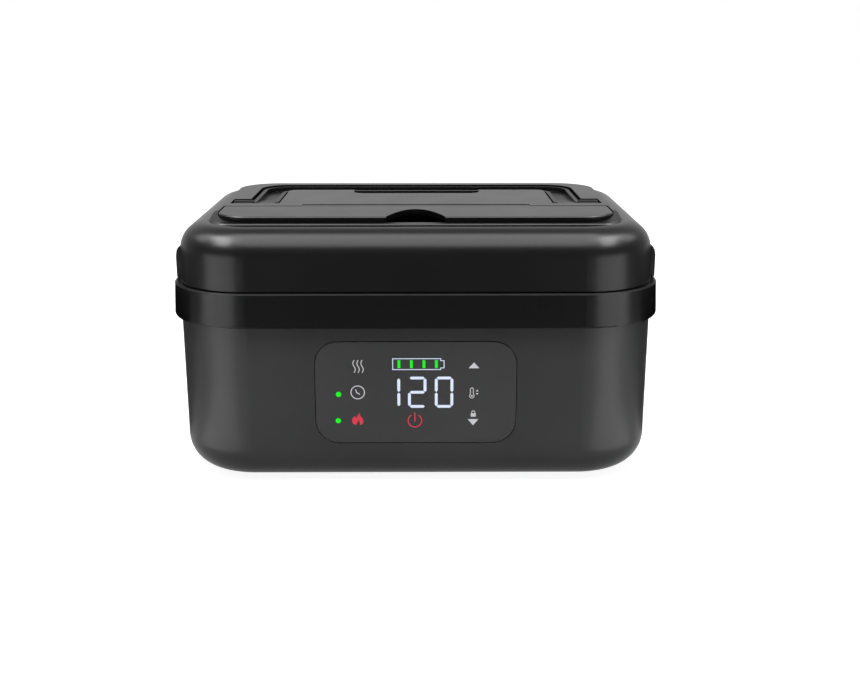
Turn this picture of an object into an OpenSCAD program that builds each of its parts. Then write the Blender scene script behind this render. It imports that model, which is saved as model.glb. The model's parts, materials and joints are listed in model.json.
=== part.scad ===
// A battery powered electric lunch box: a heated tub with a food container inside, under a lift-off
// lid that two side latches hold. The lid carries a folding handle and a cutlery compartment.
// The origin is on the table, under the middle of the box. +X is its right, +Y its back, +Z up.

/* [Box] */
// Width of the box, across the rim frame
frame_w = 240; // [216:1:270]
// Depth of the box, across the rim frame
frame_l = 178; // [170:1:200]
// Radius of the rim frame's corners, seen from above
frame_r = 40; // [38:0.5:44]
// Height of the rim frame
frame_h = 16.7; // [15:0.1:20]
// How far the rim frame's wall leans in towards its top
frame_taper = 0.7; // [0.2:0.1:1.2]
// Height of the outer shell that shows below the rim frame
body_h = 78.3; // [77:0.5:100]
// How far the outer shell stands in from the rim frame
body_inset = 3.3; // [2.8:0.1:3.6]
// How far the outer shell's wall leans in towards its bottom
body_taper = 0.3; // [0.2:0.1:1.6]
// Radius of the outer shell's bottom edge
body_fillet = 15.5; // [10:0.5:17]
// Thickness of the moulded walls
wall = 2.5; // [2:0.1:2.8]
// Thickness of the outer shell's floor
floor_t = 4; // [3.5:0.1:5]

/* [Base] */
// Width of the base plate
plate_w = 184; // [176:1:190]
// Depth of the base plate
plate_l = 120; // [112:1:122]
// Thickness of the base plate
plate_t = 2; // [1.6:0.1:2.4]
// Width of the ledge that the base plate is screwed to
plate_ledge = 12; // [11:0.5:13]
// Height of the rubber feet below the shell
foot_h = 1.2; // [0.8:0.1:3]
// Radius of the rubber feet
foot_r = 7; // [5:0.5:9]
// Radius of the base screws' shanks
screw_r = 1.5; // [1.2:0.1:1.7]

/* [Control panel] */
// Width of the panel lens
panel_w = 96; // [90:1:110]
// Height of the panel lens
panel_h = 50.5; // [46:0.5:52]
// Radius of the panel lens's corners
panel_r = 11; // [6:0.5:15]
// Height of the panel lens's middle above the shell's bottom
panel_z = 45.8; // [44:0.2:47]
// Thickness of the panel lens
panel_t = 1.5; // [1.2:0.1:1.8]
// Open gap round the panel lens
panel_gap = 0.5; // [0.3:0.1:0.8]

/* [Heating chamber and container] */
// Depth of the heating chamber below its flange
chamber_depth = 52; // [46:0.5:53]
// Thickness of the heating chamber's sheet
chamber_t = 1; // [0.8:0.1:1.4]
// Depth of the step in the rim frame that takes the chamber's flange
rabbet_depth = 5.5; // [5:0.1:6]
// Thickness of the food container's sheet
container_t = 0.8; // [0.6:0.1:1]
// Height of the food container's lid above its rim
container_lid_h = 2; // [1.6:0.1:2.4]
// Diameter of one battery cell
cell_d = 18.5; // [18:0.1:19]
// Length of one battery cell
cell_l = 65; // [60:1:66]
// Rows of battery cells, front to back
cell_rows = 4; // [3:1:4]

/* [Lid] */
// How far the lid's wall stands in from the rim frame
lid_inset = 3.4; // [2.9:0.1:3.6]
// How far the lid's wall leans in towards its shoulder
lid_taper = 0.8; // [0.4:0.1:1.2]
// Height of the lid's crest above the rim frame
crest_h = 28.7; // [28:0.1:34]
// Radius of the lid's shoulder
shoulder_r = 13; // [11:0.5:14]
// Depth of the valley between the crest and the raised top
valley_depth = 2; // [1.4:0.1:2]
// Height of the raised top above the crest
top_rise = 2.3; // [2:0.1:3]
// Distance from the box's middle to the front edge of the raised top
top_front = 54.5; // [53:0.5:56]
// Radius of the raised top's front corners
top_front_r = 17; // [10:0.5:20]

/* [Handle] */
// Width of the handle over its arms
handle_w = 174; // [168:1:175]
// Width of the handle's arms
strap_w = 13.8; // [12:0.1:14]
// Width of the handle's grip, across the back
grip_w = 18.5; // [16:0.5:19]
// Thickness of the handle's strap
strap_t = 8; // [7:0.5:8.5]
// Distance from the pivot to the handle's far edge
handle_reach = 61.5; // [60:0.5:63]
// Thickness of the two rims along the strap
strap_rim = 2.1; // [1.6:0.1:2.6]
// Open gap round the handle in its channel
handle_gap = 1.6; // [1.2:0.1:2]
// Distance of the pivot in front of the box's middle
pivot_front = 0.5; // [0:0.1:1]
// Radius of the handle's hubs
hub_r = 5.4; // [5:0.1:5.6]
// Radius of the handle's pins
handle_pin_r = 2; // [1.5:0.1:2.4]

/* [Cutlery compartment] */
// Depth of the cutlery compartment, down from its rim
bin_depth = 15.5; // [10:0.5:16]
// Width of the cutlery compartment
bin_w = 186; // [150:1:188]
// Radius of the cover's hinge barrel
barrel_r = 2.2; // [2:0.1:2.3]
// Radius of the cover's hinge pins
cover_pin_r = 1; // [0.8:0.1:1.2]
// Width of the finger notch in the cover's front edge
notch_w = 29; // [22:1:36]
// Depth of the finger notch
notch_l = 24; // [16:1:26]

/* [Latches] */
// Length of each side latch
latch_l = 80; // [60:1:82]
// Thickness of the latch's plate
latch_t = 2.2; // [1.8:0.1:2.4]
// Height of the latch above its pivot
latch_h = 18; // [16:0.1:18.6]
// Radius of the latch's hinge barrel
latch_barrel_r = 2.3; // [2.1:0.1:2.4]
// Radius of the latch's pin
latch_pin_r = 1.2; // [1:0.1:1.4]

/* [Charging port] */
// Distance of the charging port to the right of the middle
port_x = 62; // [40:1:70]
// Height of the charging port above the shell's bottom
port_z = 30; // [26:1:40]
// Radius of the charging port's barrel
port_r = 5.5; // [4.5:0.1:6]

/* [Hidden] */
$fn = 64;

// Clearances
gap = 0.3;        // between pieces that lift or swing apart
snug = 0.02;      // round a pin in the bore that holds it
running = 0.06;   // round a pin in the bore that turns on it
cut = 1;          // how far a cutting shape runs past the face it cuts

// Every wall that runs round the box turns about these corner centres. A wall's outline is drawn
// as [distance out from the centre, height].
corner_x = frame_w / 2 - frame_r;
corner_y = frame_l / 2 - frame_r;

// Heights
shell_z = foot_h;
frame_z = shell_z + body_h;
frame_top = frame_z + frame_h;
crest_z = frame_top + crest_h;
deck_z = crest_z - valley_depth;
top_z = crest_z + top_rise;

// Distances out from the corner centres
shell_u = frame_r - body_inset;
shell_low_u = shell_u - body_taper;
shell_in_u = shell_u - wall;
skirt_in_u = shell_u + 0.2;
lid_u = frame_r - lid_inset;
lid_high_u = lid_u - lid_taper;
shoulder_u = lid_high_u - shoulder_r;
crest_u = shoulder_u - 1;
valley_u = crest_u - 4;
top_u = crest_u - 0.5;

// Rim frame
flange_t = 3.5;
ledge_top = frame_top - rabbet_depth;
ledge_z = ledge_top - flange_t;
mouth_u = frame_r - 9.2;
ledge_in_u = frame_r - 15;
shell_top = ledge_z - 0.2;
frame_bevel = 0.7;
frame_edge = 1.2;

// Heating chamber, and what hangs under it
chamber_u = 19.5;
chamber_low_u = chamber_u - 0.9;
chamber_fillet = 7;
chamber_floor = ledge_top - chamber_depth + chamber_t;
chamber_under = chamber_floor - chamber_t;
chamber_flange_u = mouth_u - 0.4;
jacket_t = 4;
heater_l = 88;
heater_t = 3;
heater_z = chamber_under - heater_t;
ptc_t = 4;
ptc_z = heater_z - ptc_t;
clamp_t = 1.5;
clamp_z = ptc_z - clamp_t;
ptc_w = 24;
ptc_l = 16;
ptc_pitch = 34;
sensor_y = heater_l / 2 - 8;
fuse_x = 30;
clamp_w = 2 * ptc_pitch + ptc_w + 20;
heater_w = clamp_w + 28;
clamp_l = 12;
clamp_screw_r = 1.3;
clamp_bite = heater_t - 1;
clamp_screws_at = [for (x = [-1, 1]) [x * (clamp_w / 2 - 5), 0]];

// Food container
container_gap = 0.5;
container_u = chamber_u - chamber_t - container_gap;
container_low_u = container_u - 2;
container_z = chamber_floor + gap;
container_rim = ledge_top + chamber_t + gap;
container_rim_u = container_u + 5;
container_fillet = 6.5;
seal_t = 0.8;
cap_z = container_rim + container_t + seal_t;
lip_depth = 1.6;
vent_r = 5;
vent_y = 42;

// Base
floor_z = shell_z + floor_t;
plate_top = shell_z + plate_t;
plate_r = 14;
plate_fit = 0.3;
base_screws_at = [for (x = [-1, 0, 1], y = [-1, 1])
  [x * (plate_w - plate_ledge) / 2, y * (plate_l - plate_ledge) / 2]];
foot_in = 18;
feet_at = [for (x = [-1, 1], y = [-1, 1]) [x * (plate_w / 2 - foot_in), y * (plate_l / 2 - foot_in)]];
base_boss_h = 6;
base_bite = 6.5;
base_screw_l = plate_t - screw_head_t(screw_r) + base_bite;

// Battery
cell_pitch = cell_d + 0.6;
cell_z = floor_z + cell_d / 2 + 0.6;
pack_w = 2 * cell_l + 6;
pack_l = cell_rows * cell_pitch + 3;
holder_t = 5;
holder_at = [0.18, 0.82];
shield_t = 0.6;
shield_z = cell_z + cell_d / 2 + 0.2;

// Circuit boards, which stand on the base plate before and behind the cells
board_t = 1.6;
board_z = plate_top + 3;
part_z = plate_top + 6;
main_board_w = 120;
main_board_h = 16;
main_board_y = -pack_l / 2 - 4 - board_t;
main_parts_at = [-42, -20, 6, 28];
main_part = [11, 3, 9];
battery_board_w = 60;
battery_board_h = 15;
battery_board_x = -pack_w / 2 + 8;
battery_board_y = pack_l / 2 + 2.5;
battery_parts_at = [6, 28, 46];
battery_part = [9, 2, 7];
stand = [6, 2, 14];
lead_r = 0.8;

// Control panel
panel_mid = shell_z + panel_z;
front_y = -(corner_y + wall_u(panel_mid));
window_w = 64;
window_h = 44;
display_w = 58;
display_h = 40;
display_t = 5.6;
display_board_w = panel_w - 12;
spacer_w = 7;
spacer_h = 12;
ribbon_x = 16;
ribbon_w = 14;
ribbon_t = 0.8;

// Charging port
port_mid = shell_z + port_z;
back_y = corner_y + wall_u(port_mid);
port_recess_w = 20;
port_recess_h = 17;
port_recess_t = 1.6;
port_cover_t = 1.5;
port_hinge_r = 1.1;
port_hinge_y = back_y + 0.3;
port_hinge_z = port_mid - port_recess_h / 2 - 0.6;
port_pin_r = 0.5;
port_barrel_w = 11;
port_knuckle = 3.5;
port_wall_y = back_y - port_recess_t - wall;
jack_l = 8;

// Lid inside
lid_z = frame_top + gap;
liner_t = 2;
liner_z = frame_top + 5.2;
liner_u = lid_u - wall - 0.4;
plug_u = mouth_u - 0.6;
plug_t = 2.2;
plug_z = frame_top - 2.8;
seal_z = ledge_top + chamber_t + gap;
post_r = 3.4;
post_bore_r = 1.3;
post_bore_l = 10;
side_post = [corner_x + 23, 28];
end_post = [62, corner_y + 14.5];
posts_at = [for (p = [side_post, end_post], x = [-1, 1], y = [-1, 1]) [x * p.x, y * p.y]];
housing_t = 2;

// Handle and its channel in the raised top
pivot_y = -pivot_front;
strap_drop = 0.8;
strap_z = top_z - strap_drop - strap_t;
hub_rise = 0.2;
pivot_z = top_z - hub_r + hub_rise;
nose_r = strap_z + strap_t - pivot_z;
handle_far = pivot_y + handle_reach;
handle_in_w = handle_w - 2 * strap_w;
strap_web = 3;
handle_corner_r = 14;
handle_in_r = 6;
handle_pin_in = 3;
recess_front = 0.5;
recess_run = 26;
channel_w = handle_w + 2 * handle_gap;
channel_far = handle_far + handle_gap;
hub_front = 4.6;
channel_near = pivot_y - hub_r - hub_front;
channel_floor = strap_z - 0.8;
island_w = handle_in_w - 2 * handle_gap;
island_far = handle_far - grip_w - handle_gap;
hub_out = 96.5;
pocket_out = hub_out + 1;
pocket_far = pivot_y + hub_r + 1;
pocket_floor = pivot_z - hub_r - 0.8;
scoop_w = 70;
scoop_l = 13.6;
scoop_run = 11;
scoop_floor = channel_floor - 5;
boss_r = handle_pin_r + 2;
boss_l = 3.6;

// Cutlery cover and compartment
seam_y = channel_near - 6.7;
hinge_z = top_z - barrel_r;
barrel_gap = 0.8;
cover_t = 2;
cover_rim = 2.7;
cover_wall = 2;
cover_bevel = 0.6;
cover_side = 2.6;
cover_gap = 0.4;
cover_back = seam_y - barrel_r - barrel_gap;
seam_gap = 1.2;
top_bevel = 0.6;
top_w = 2 * (corner_x + top_u);
apron_l = 5.3;
apron_r = 11;
top_y0 = -top_front - apron_l;
top_y1 = corner_y + top_u;
cover_w = top_w - 2 * cover_side;
cover_pin_in = 8;
lip_z = top_z - cover_rim - gap;
apron_z = lip_z + 0.2;
ramp_y0 = -top_front + 1;
ramp_y1 = -top_front + 19;
notch_dip = 2.4;
bin_front = top_front - 4;
bin_back = -seam_y + barrel_r + barrel_gap + housing_t + 0.4;
bin_floor = lip_z - bin_depth;
bin_r = 8;
lug_x = 59;
cover_pin_l = 20;

// Latches
latch_x = frame_w / 2 - 0.6;
latch_z = frame_top - 4.4;
latch_in = latch_x - 0.6;
latch_notch_x = latch_x - latch_barrel_r - gap - 0.4;
latch_notch_z = latch_z - latch_barrel_r - 0.5;
knuckle_w = 5;
latch_barrel_l = latch_l - 2 * knuckle_w - 4;
hook_z = latch_z + latch_h - 3;
hook_t = 1.8;
hook_reach = 0.9;
latch_nose = [1.6, 4.4];
catch_l = latch_l - 4;
catch_out = latch_in - hook_reach - gap - corner_x - lid_high_u;
ridge_z = latch_z + latch_h + 0.8;
ridge_out = 1.6;
notch_segments = 24;

// A quarter disc between +X and +Y
module quarter(r) {
  intersection() {
    circle(r);
    square(r);
  }
}

// Carries an outline round the box: a quarter turn at each corner and a straight run between
module around() {
  for (q = [[1, 1, 0], [-1, 1, 90], [-1, -1, 180], [1, -1, 270]])
    translate([q.x * corner_x, q.y * corner_y, 0]) rotate(q.z) rotate_extrude(angle = 90) children();
  for (turn = [0, 180]) rotate(turn) {
    translate([corner_x, corner_y, 0]) rotate([90, 0, 0]) linear_extrude(2 * corner_y) children();
    rotate(90) translate([corner_y, corner_x, 0]) rotate([90, 0, 0])
      linear_extrude(2 * corner_x) children();
  }
}

// The slab between the corner centres, from one height to another
module core(z0, z1) {
  translate([-corner_x, -corner_y, z0]) cube([2 * corner_x, 2 * corner_y, z1 - z0]);
}

// A flat slab that reaches a distance out from the corner centres
module slab(u, z0, z1) {
  translate([0, 0, z0]) linear_extrude(z1 - z0) rounded(2 * (corner_x + u), 2 * (corner_y + u), u);
}

// A rectangle with round corners, about the middle
module rounded(w, l, r) {
  square([w - 2 * r, l], center = true);
  square([w, l - 2 * r], center = true);
  for (x = [-1, 1], y = [-1, 1]) translate([x * (w / 2 - r), y * (l / 2 - r)]) circle(r);
}

// A rectangle with its own radius at its front and back corners, from y0 to y1
module tray(w, y0, y1, r_front, r_back) {
  half = w / 2;
  translate([-half, y0 + r_front]) square([w, y1 - y0 - r_front - r_back]);
  translate([-half + r_front, y0]) square([w - 2 * r_front, r_front]);
  translate([-half + r_back, y1 - r_back]) square([w - 2 * r_back, r_back]);
  for (x = [-1, 1]) {
    translate([x * (half - r_front), y0 + r_front]) circle(r_front);
    translate([x * (half - r_back), y1 - r_back]) circle(r_back);
  }
}

// The outline of a tub's wall: it leans from u_low to u_high, over a round bottom edge
module tub(u_low, u_high, z0, z1, r) {
  polygon([[0, z0], [u_low - r, z0], [u_low - r, z0 + r], [u_low, z0 + r], [u_high, z1], [0, z1]]);
  translate([u_low - r, z0 + r]) mirror([0, 1]) quarter(r);
}

// A cylinder along X, from x0 to x1
module bar_x(r, x0, x1) {
  translate([x0, 0, 0]) rotate([0, 90, 0]) cylinder(r = r, h = x1 - x0);
}

// A cylinder along Y, from y0 to y1
module bar_y(r, y0, y1) {
  translate([0, y1, 0]) rotate([90, 0, 0]) cylinder(r = r, h = y1 - y0);
}

// A plate that stands upright, from y0 back to y1, with round corners
module upright(w, h, r, y0, y1) {
  translate([0, y1, 0]) rotate([90, 0, 0]) linear_extrude(y1 - y0) rounded(w, h, r);
}

function screw_head_t(r) = 0.8 * r;

// A screw along Z with its head's underside at the origin and its shank pointing up
module screw(length, r) {
  head_r = 1.8 * r;
  head_t = screw_head_t(r);
  difference() {
    translate([0, 0, -head_t]) cylinder(r = head_r, h = head_t);
    for (turn = [0, 90]) rotate(turn)
      cube([1.3 * head_r, 0.5 * r, head_t], center = true);
  }
  cylinder(r = r, h = length);
}

// A tub or block with round edges, solid, about the middle
module tub_solid(u_low, u_high, z0, z1, r) {
  around() tub(u_low, u_high, z0, z1, r);
  core(z0, z1);
}

// Carries an outline round the edge of a tray, drawn as [distance out from the edge, height]
module along_edge(w, y0, y1, r_front, r_back) {
  for (c = [[1, y1 - r_back, r_back, 0], [-1, y1 - r_back, r_back, 90],
            [-1, y0 + r_front, r_front, 180], [1, y0 + r_front, r_front, 270]])
    translate([c[0] * (w / 2 - c[2]), c[1], 0]) rotate(c[3])
      rotate_extrude(angle = 90) translate([c[2], 0]) children();
  for (x = [-1, 1]) translate([x * w / 2, x > 0 ? y1 - r_back : y0 + r_front, 0])
    rotate(x > 0 ? 0 : 180) rotate([90, 0, 0])
      linear_extrude(y1 - y0 - r_front - r_back) children();
  translate([-w / 2 + r_back, y1, 0]) rotate(90) rotate([90, 0, 0])
    linear_extrude(w - 2 * r_back) children();
  translate([w / 2 - r_front, y0, 0]) rotate(-90) rotate([90, 0, 0])
    linear_extrude(w - 2 * r_front) children();
}

// What a bevel takes off a top edge at a height
module bevel_outline(z, size) {
  polygon([[-size, z], [cut / 10, z - size - cut / 10], [cut / 10, z + cut / 10],
    [-size, z + cut / 10]]);
}

// Puts children on the shell's front wall, with y = 0 on its face and y rising into the box
module on_front() {
  lean = atan(body_taper / (shell_top - shell_z - body_fillet));
  translate([0, front_y, panel_mid]) rotate([lean, 0, 0]) children();
}

// How far the outer shell's wall stands out at a height
function wall_u(z) = shell_low_u
  + body_taper * (z - shell_z - body_fillet) / (shell_top - shell_z - body_fillet);

module outer_shell() color([0.2, 0.2, 0.21]) {
  difference() {
    union() {
      difference() {
        tub_solid(shell_low_u, shell_u, shell_z, shell_top, body_fillet);
        tub_solid(shell_low_u - wall, shell_in_u, floor_z, shell_top + cut, body_fillet - wall);
      }
      for (p = base_screws_at) translate([p.x, p.y, plate_top])
        cylinder(r = 2.4 * screw_r, h = floor_z + base_boss_h - plate_top);
      for (x = [-1, 1]) translate([port_x + x * (port_recess_w / 2 - port_knuckle / 2), 0, 0])
        translate([-port_knuckle / 2, port_hinge_y, port_hinge_z]) bar_x(port_hinge_r, 0, port_knuckle);
      translate([port_x, 0, port_mid]) upright(port_recess_w + 2 * wall, port_recess_h + 2 * wall, 2,
        port_wall_y, back_y - wall / 2);
    }
    translate([0, 0, shell_z - cut]) linear_extrude(plate_t + cut)
      rounded(plate_w + 2 * plate_fit, plate_l + 2 * plate_fit, plate_r + plate_fit);
    translate([0, 0, shell_z]) linear_extrude(floor_t + cut)
      rounded(plate_w - 2 * plate_ledge, plate_l - 2 * plate_ledge, plate_r);
    for (p = base_screws_at) translate([p.x, p.y, plate_top - cut])
      cylinder(r = screw_r + snug, h = base_bite + 1.5 * cut);
    on_front() {
      upright(panel_w + 2 * panel_gap, panel_h + 2 * panel_gap, panel_r + panel_gap, -cut, panel_t);
      upright(window_w, window_h, 2, 0, wall + cut);
    }
    translate([port_x, 0, port_mid]) {
      upright(port_recess_w, port_recess_h, 2, back_y - port_recess_t, back_y + cut);
      bar_y(port_r + snug, port_wall_y - cut, back_y);
    }
    translate([port_x - port_barrel_w / 2 - gap, port_hinge_y, port_hinge_z])
      bar_x(port_hinge_r + gap, 0, port_barrel_w + 2 * gap);
    translate([port_x - port_recess_w / 2, port_hinge_y, port_hinge_z])
      bar_x(port_pin_r + snug, -cut, port_recess_w + cut);
  }
}

// The glossy band under the lid, with the ledge that carries the heating chamber
module rim_frame() color([0.06, 0.06, 0.065]) {
  difference() {
    around() {
      polygon([[skirt_in_u, frame_z], [frame_r - frame_edge, frame_z],
        [frame_r - frame_edge, frame_z + frame_edge], [frame_r, frame_z + frame_edge], 
        [frame_r - frame_taper, frame_top - frame_bevel], [frame_r - frame_taper - frame_bevel, frame_top],
        [mouth_u, frame_top], [mouth_u, ledge_top],
        [ledge_in_u, ledge_top], [ledge_in_u, ledge_z], [skirt_in_u, ledge_z]]);
      translate([frame_r - frame_edge, frame_z + frame_edge]) mirror([0, 1]) quarter(frame_edge);
    }
    for (side = [0, 1]) mirror([side, 0, 0])
      translate([latch_notch_x, -latch_l / 2 - gap, latch_notch_z])
        cube([frame_w / 2, latch_l + 2 * gap, frame_h]);
  }
  for (side = [0, 1], y = [-1, 1]) mirror([side, 0, 0]) difference() {
    translate([0, y * (latch_barrel_l / 2 + gap + knuckle_w / 2), 0]) {
      translate([latch_x, 0, latch_z]) bar_y(latch_barrel_r, -knuckle_w / 2, knuckle_w / 2);
      translate([latch_notch_x - gap, -knuckle_w / 2, latch_notch_z - gap])
        cube([latch_x - latch_notch_x + gap, knuckle_w, latch_z - latch_notch_z + gap]);
    }
    translate([latch_x, 0, latch_z]) bar_y(latch_pin_r + snug, -latch_l / 2, latch_l / 2);
  }
}

module base_plate() color([0.12, 0.12, 0.13]) difference() {
  translate([0, 0, shell_z]) linear_extrude(plate_t) rounded(plate_w, plate_l, plate_r);
  for (p = base_screws_at) translate([p.x, p.y, shell_z - cut])
    cylinder(r = screw_r + running, h = plate_t + 2 * cut);
  for (p = base_screws_at) translate([p.x, p.y, shell_z - cut])
    cylinder(r = 1.8 * screw_r + gap, h = cut + screw_head_t(screw_r));
}

module rubber_feet() color([0.1, 0.1, 0.1]) for (p = feet_at) translate([p.x, p.y, 0])
  rotate_extrude() polygon([[0, 0], [foot_r - 0.4, 0], [foot_r, 0.4], [foot_r, foot_h], [0, foot_h]]);

module base_screws() color([0.55, 0.55, 0.56]) for (p = base_screws_at)
  translate([p.x, p.y, shell_z + screw_head_t(screw_r)]) screw(base_screw_l, screw_r);

// The tub of bright sheet that the food container sits in
module heating_chamber() color([0.78, 0.78, 0.8]) {
  difference() {
    union() {
      tub_solid(chamber_low_u, chamber_u, chamber_under, ledge_top, chamber_fillet);
      slab(chamber_flange_u, ledge_top, ledge_top + chamber_t);
    }
    tub_solid(chamber_low_u - chamber_t, chamber_u - chamber_t, chamber_floor,
      ledge_top + chamber_t + cut, chamber_fillet - chamber_t);
  }
}

module chamber_insulation() color([0.75, 0.74, 0.68]) difference() {
  slab(chamber_u + gap + jacket_t, chamber_floor + chamber_fillet, ledge_z - gap);
  slab(chamber_u + gap, chamber_floor + chamber_fillet - cut, ledge_z);
}

module heater_plate() color([0.7, 0.7, 0.72]) difference() {
  translate([0, 0, heater_z]) linear_extrude(heater_t) rounded(heater_w, heater_l, 8);
  for (p = clamp_screws_at) translate([p.x, p.y, heater_z - cut])
    cylinder(r = clamp_screw_r + snug, h = cut + clamp_bite + 0.3);
}

module ptc_heaters() color([0.85, 0.83, 0.78]) for (x = [-1, 0, 1])
  translate([x * ptc_pitch - ptc_w / 2, -ptc_l / 2, ptc_z]) cube([ptc_w, ptc_l, ptc_t]);

module heater_clamp() color([0.6, 0.6, 0.62]) difference() {
  union() {
    translate([0, 0, clamp_z]) linear_extrude(clamp_t) square([clamp_w, clamp_l], center = true);
    for (p = clamp_screws_at) translate([p.x, p.y, clamp_z]) cylinder(r = 4, h = ptc_t + clamp_t);
  }
  for (p = clamp_screws_at) translate([p.x, p.y, clamp_z - cut])
    cylinder(r = clamp_screw_r + running, h = ptc_t + clamp_t + 2 * cut);
}

module clamp_screws() color([0.55, 0.55, 0.56]) for (p = clamp_screws_at)
  translate([p.x, p.y, clamp_z]) screw(clamp_t + ptc_t + clamp_bite, clamp_screw_r);

module temperature_sensor() color([0.2, 0.2, 0.22]) translate([0, sensor_y, heater_z])
  mirror([0, 0, 1]) {
    cylinder(r = 3, h = 2.5);
    translate([-4.5, -3.5, 0]) cube([9, 7, 0.8]);
  }

module thermal_fuse() color([0.8, 0.72, 0.5]) translate([fuse_x, sensor_y, heater_z - 2.5]) {
  bar_x(2, -8, 8);
  translate([-3, -2.4, 1.7]) cube([6, 4.8, 0.8]);
}

module heat_shield() color([0.72, 0.73, 0.75]) translate([0, 0, shield_z])
  linear_extrude(shield_t) rounded(pack_w + 16, pack_l + 8, 4);

module battery_cells() color([0.16, 0.38, 0.62]) for (x = [-1, 1], i = [0 : cell_rows - 1])
  translate([x * (cell_l / 2 + 0.5), (i - (cell_rows - 1) / 2) * cell_pitch, cell_z])
    bar_x(cell_d / 2, -cell_l / 2, cell_l / 2);

// Combs that hold the cells apart, with a foot that stands on the base plate
module cell_holder() color([0.1, 0.1, 0.11]) difference() {
  for (x = [-1, 1], e = holder_at)
    translate([x * (0.5 + e * cell_l) - holder_t / 2, -pack_l / 2, plate_top])
      cube([holder_t, pack_l, cell_z - plate_top + 3]);
  for (i = [0 : cell_rows - 1])
    translate([0, (i - (cell_rows - 1) / 2) * cell_pitch, cell_z])
      bar_x(cell_d / 2 + running, -pack_w / 2, pack_w / 2);
}

// A board behind the cells, with its parts on its back and two stands before it
module battery_board() color([0.1, 0.35, 0.2]) translate([battery_board_x, battery_board_y, 0]) {
  translate([0, 0, board_z]) cube([battery_board_w, board_t, battery_board_h]);
  for (x = battery_parts_at) translate([x, board_t, part_z]) cube(battery_part);
  for (x = [stand.x, battery_board_w - 2 * stand.x]) translate([x, -stand.y, plate_top]) cube(stand);
}

// A board in front of the cells, with its parts on its front and two stands behind it
module main_board() color([0.1, 0.35, 0.2]) translate([0, main_board_y, 0]) {
  translate([-main_board_w / 2, 0, board_z]) cube([main_board_w, board_t, main_board_h]);
  for (x = main_parts_at) translate([x, -main_part.y, part_z]) cube(main_part);
  for (x = [-1, 1]) translate([x * (main_board_w / 2 - stand.x) - stand.x / 2, board_t, plate_top])
    cube(stand);
}

module display_board() color([0.1, 0.35, 0.2]) on_front() {
  upright(display_board_w, display_h + 4, 2, display_t, display_t + board_t);
  for (x = [-1, 1]) translate([x * (display_board_w - spacer_w - 2) / 2, 0, 0])
    upright(spacer_w, spacer_h, 1, wall + 0.05, display_t);
}

module display_module() color([0.86, 0.87, 0.88]) on_front()
  upright(display_w, display_h, 2, panel_t + 0.1, display_t);

// The flat cable between the display board and the main board
module display_ribbon() color([0.8, 0.8, 0.78]) {
  y0 = front_y + display_t + board_t + gap;
  y1 = main_board_y - ribbon_t - 0.2;
  z0 = panel_mid - display_h / 2 + 4;
  z1 = part_z + main_part.z + 1;
  translate([ribbon_x, 0, 0]) rotate([90, 0, 90]) linear_extrude(ribbon_w)
    polygon([[y0, z0 + 6], [y0, z0], [y1, z1], [y1 + ribbon_t, z1], [y1 + ribbon_t, z1 + 1],
      [y0 + ribbon_t, z0 + 1], [y0 + ribbon_t, z0 + 6]]);
}

module panel_lens() color([0.23, 0.23, 0.24]) on_front()
  upright(panel_w, panel_h, panel_r, 0, panel_t - 0.1);

module charge_jack() color([0.08, 0.08, 0.08]) translate([port_x, 0, port_mid]) difference() {
  union() {
    bar_y(port_r, port_wall_y - jack_l, back_y - port_recess_t - 0.2);
    upright(2 * port_r + 3, 2 * port_r + 3, 1.5, port_wall_y - jack_l, port_wall_y - 0.05);
  }
  difference() {
    bar_y(port_r - 2.2, port_wall_y - jack_l + 2, back_y);
    bar_y(port_r / 5, port_wall_y - jack_l + 1, back_y - port_recess_t - 1.5);
  }
}

module port_cover() color([0.15, 0.15, 0.16]) {
  low = port_hinge_z + port_hinge_r + gap;
  high = port_mid + port_recess_h / 2 - gap;
  difference() {
    union() {
      translate([port_x, 0, (low + high) / 2])
        upright(port_recess_w - 2 * gap, high - low, 1.7, back_y - port_cover_t, back_y);
      translate([port_x, port_hinge_y, port_hinge_z])
        bar_x(port_hinge_r, -port_barrel_w / 2, port_barrel_w / 2);
      translate([port_x - port_barrel_w / 2, port_hinge_y - port_hinge_r, port_hinge_z])
        cube([port_barrel_w, back_y + port_hinge_r - port_hinge_y, 2]);
      translate([port_x, back_y - gap, high - 1.3]) bar_x(1, -3, 3);
    }
    translate([port_x, port_hinge_y, port_hinge_z])
      bar_x(port_pin_r + running, -port_recess_w, port_recess_w);
  }
}

module port_cover_pin() color([0.7, 0.7, 0.7]) translate([port_x, port_hinge_y, port_hinge_z])
  bar_x(port_pin_r, -port_recess_w / 2 + 0.5, port_recess_w / 2 - 0.5);

// A side latch, drawn on the right side and closed
module latch() difference() {
  union() {
    translate([latch_in, latch_l / 2, latch_z]) rotate([90, 0, 0]) linear_extrude(latch_l)
      polygon([[0, 0], [latch_t, 0], [latch_t, latch_h - latch_nose.y],
        [latch_t - latch_nose.x / 3, latch_h - latch_nose.y / 2.6], [latch_t - latch_nose.x, latch_h],
        [-hook_reach, latch_h], [-hook_reach, hook_z + hook_t - latch_z - 0.6],
        [-hook_reach + 0.4, hook_z - latch_z], [0, hook_z - latch_z]]);
    translate([latch_x, 0, latch_z]) bar_y(latch_barrel_r, -latch_barrel_l / 2, latch_barrel_l / 2);
  }
  for (y = [-1, 1]) translate([latch_x, y * (latch_barrel_l / 2 + latch_l / 4), latch_z])
    bar_y(latch_barrel_r + 0.5, -latch_l / 4, latch_l / 4);
  translate([latch_x, 0, latch_z]) bar_y(latch_pin_r + running, -latch_l, latch_l);
}

module latch_right() color([0.07, 0.07, 0.075]) latch();

module latch_left() color([0.07, 0.07, 0.075]) mirror([1, 0, 0]) latch();

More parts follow.
